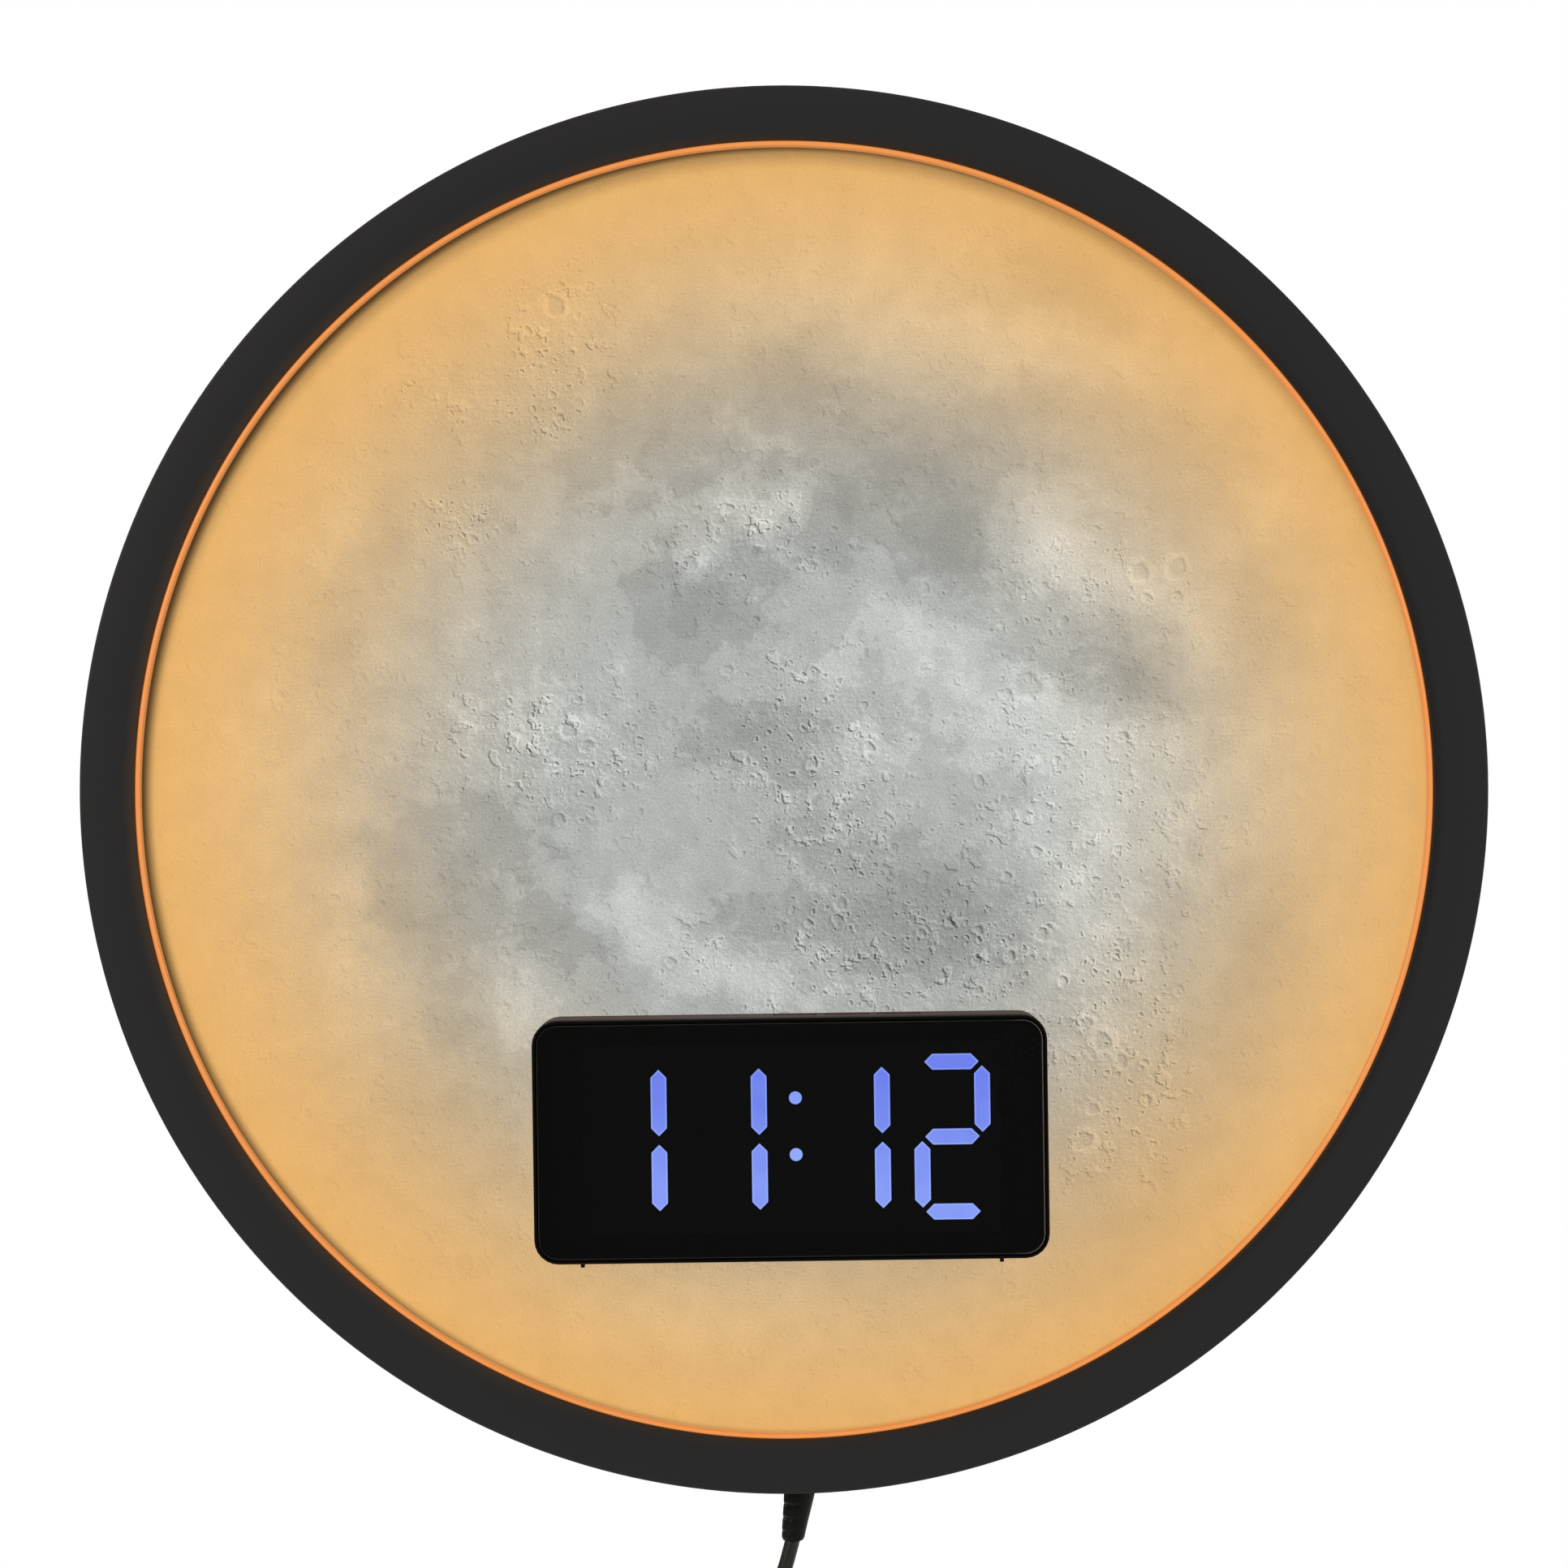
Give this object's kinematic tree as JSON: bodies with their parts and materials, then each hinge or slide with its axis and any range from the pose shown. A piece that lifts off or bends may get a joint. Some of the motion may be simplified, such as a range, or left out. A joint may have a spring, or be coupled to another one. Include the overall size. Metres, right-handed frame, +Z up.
{
  "type": "digital wall clock",
  "caption": "Round wall clock: a lit moon disc in a dark frame, a digital display module with push keys on it, and a hanging cord wound into a coil with its plug.",
  "frame": {"origin": "centre of the flat back, on the wall plane", "axes": "the clock faces -Y, +Y points into the wall, +X is its right as seen from the front, +Z is up"},
  "size_m": [0.3, 0.0384, 0.4168],
  "materials": {
    "charcoal_paint": "matte charcoal ABS",
    "lit_amber": "clear bead, lit amber from behind",
    "moon_print": "opal acrylic with a satin printed moon",
    "white_plastic": "moulded white ABS",
    "white_film": "matt white film",
    "strip_white": "white flexible circuit with soldered LEDs",
    "black_plastic": "fine satin black ABS",
    "gloss_black": "smoked gloss acrylic",
    "black_film": "matt black printed film",
    "zinc_steel": "zinc plated steel",
    "board_green": "green solder mask on glass fibre board",
    "cell_steel": "stamped stainless steel",
    "grey_foam": "closed-cell foam tape",
    "black_rubber": "matt black PVC",
    "nickel_sheet": "nickel plated folded sheet"
  },
  "bodies": {
    "root": {"adhesive_pad": "grey_foam", "back_cover": "black_plastic", "back_screw_1": "zinc_steel", "back_screw_2": "zinc_steel", "back_screw_3": "zinc_steel", "back_screw_4": "zinc_steel", "back_screw_5": "zinc_steel", "back_screw_6": "zinc_steel", "buzzer": "black_plastic", "cell_holder": "black_plastic", "coin_cell": "cell_steel", "cord_coil": "black_rubber", "cord_lower": "black_rubber", "cord_tie": "black_rubber", "cord_upper": "black_rubber", "diffuser_film": "white_film", "driver_board": "board_green", "driver_screw_1": "zinc_steel", "driver_screw_2": "zinc_steel", "frame_ring": "charcoal_paint", "front_shell": "black_plastic", "glow_ring": "lit_amber", "hanger_plate": "zinc_steel", "hanger_screw_1": "zinc_steel", "hanger_screw_2": "zinc_steel", "inner_lead": "black_rubber", "led_strip": "strip_white", "lens_panel": "gloss_black", "main_board": "board_green", "mask_film": "black_film", "module_lead": "black_rubber", "module_screw_1": "zinc_steel", "module_screw_2": "zinc_steel", "module_screw_3": "zinc_steel", "module_screw_4": "zinc_steel", "moon_panel": "moon_print", "rear_plate": "black_plastic", "reflector_sheet": "white_film", "segment_block": "white_plastic", "spacer_hoop": "white_plastic", "strain_relief": "black_rubber", "strip_lead": "white_plastic", "switch_down": "black_plastic", "switch_set": "black_plastic", "switch_up": "black_plastic", "usb_grip": "black_rubber", "usb_shell": "nickel_sheet", "usb_tongue": "white_plastic"},
    "key_set": {"key_set": "black_plastic", "plunger_set": "white_plastic"},
    "key_down": {"key_down": "black_plastic", "plunger_down": "white_plastic"},
    "key_up": {"key_up": "black_plastic", "plunger_up": "white_plastic"}
  },
  "joints": [
    {"name": "press_set", "type": "slide", "parent": "root", "child": "key_set", "axis": [0.014, 0, -0.9999], "range_m": [0, 0.0004], "stiffness_N_per_m": 500, "springref_m": -0.0004},
    {"name": "press_down", "type": "slide", "parent": "root", "child": "key_down", "axis": [0.014, 0, -0.9999], "range_m": [0, 0.0004], "stiffness_N_per_m": 500, "springref_m": -0.0004},
    {"name": "press_up", "type": "slide", "parent": "root", "child": "key_up", "axis": [0.014, 0, -0.9999], "range_m": [0, 0.0004], "stiffness_N_per_m": 500, "springref_m": -0.0004}
  ]
}
